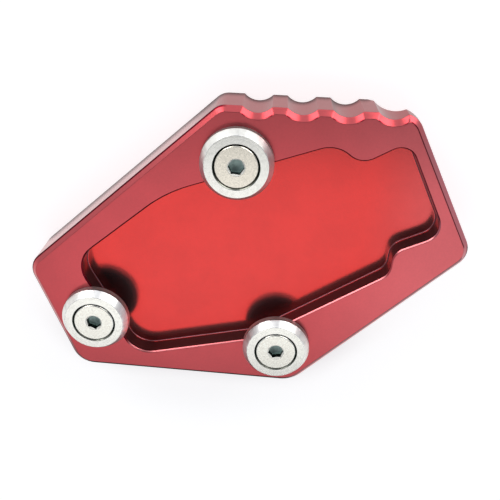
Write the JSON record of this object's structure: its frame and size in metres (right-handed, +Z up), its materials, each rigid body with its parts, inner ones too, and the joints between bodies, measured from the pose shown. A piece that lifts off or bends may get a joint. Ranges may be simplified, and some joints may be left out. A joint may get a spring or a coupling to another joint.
{
  "type": "kickstand foot enlarger",
  "caption": "Scalloped anodised base plate with a foot-shaped pocket, held to a side stand's foot by countersunk screws through thick clamp washers.",
  "frame": {"origin": "middle of the ground face, the flat underside that stands on the ground", "axes": "+Z up through the pocket, +X along the length towards the bevelled outboard end, +Y towards the scalloped edge"},
  "size_m": [0.1271, 0.0874, 0.0205],
  "materials": {
    "red_anodised": "satin red anodised over a fine bead-blasted and milled surface",
    "turned_aluminium": "bright turned, fine concentric tool marks",
    "stainless": "plain stainless, slightly warm and matt"
  },
  "bodies": {
    "root": {"base_plate": "red_anodised", "clamp_washer_top": "turned_aluminium", "clamp_washer_left": "turned_aluminium", "clamp_washer_right": "turned_aluminium", "countersunk_screws": "stainless"}
  },
  "joints": []
}
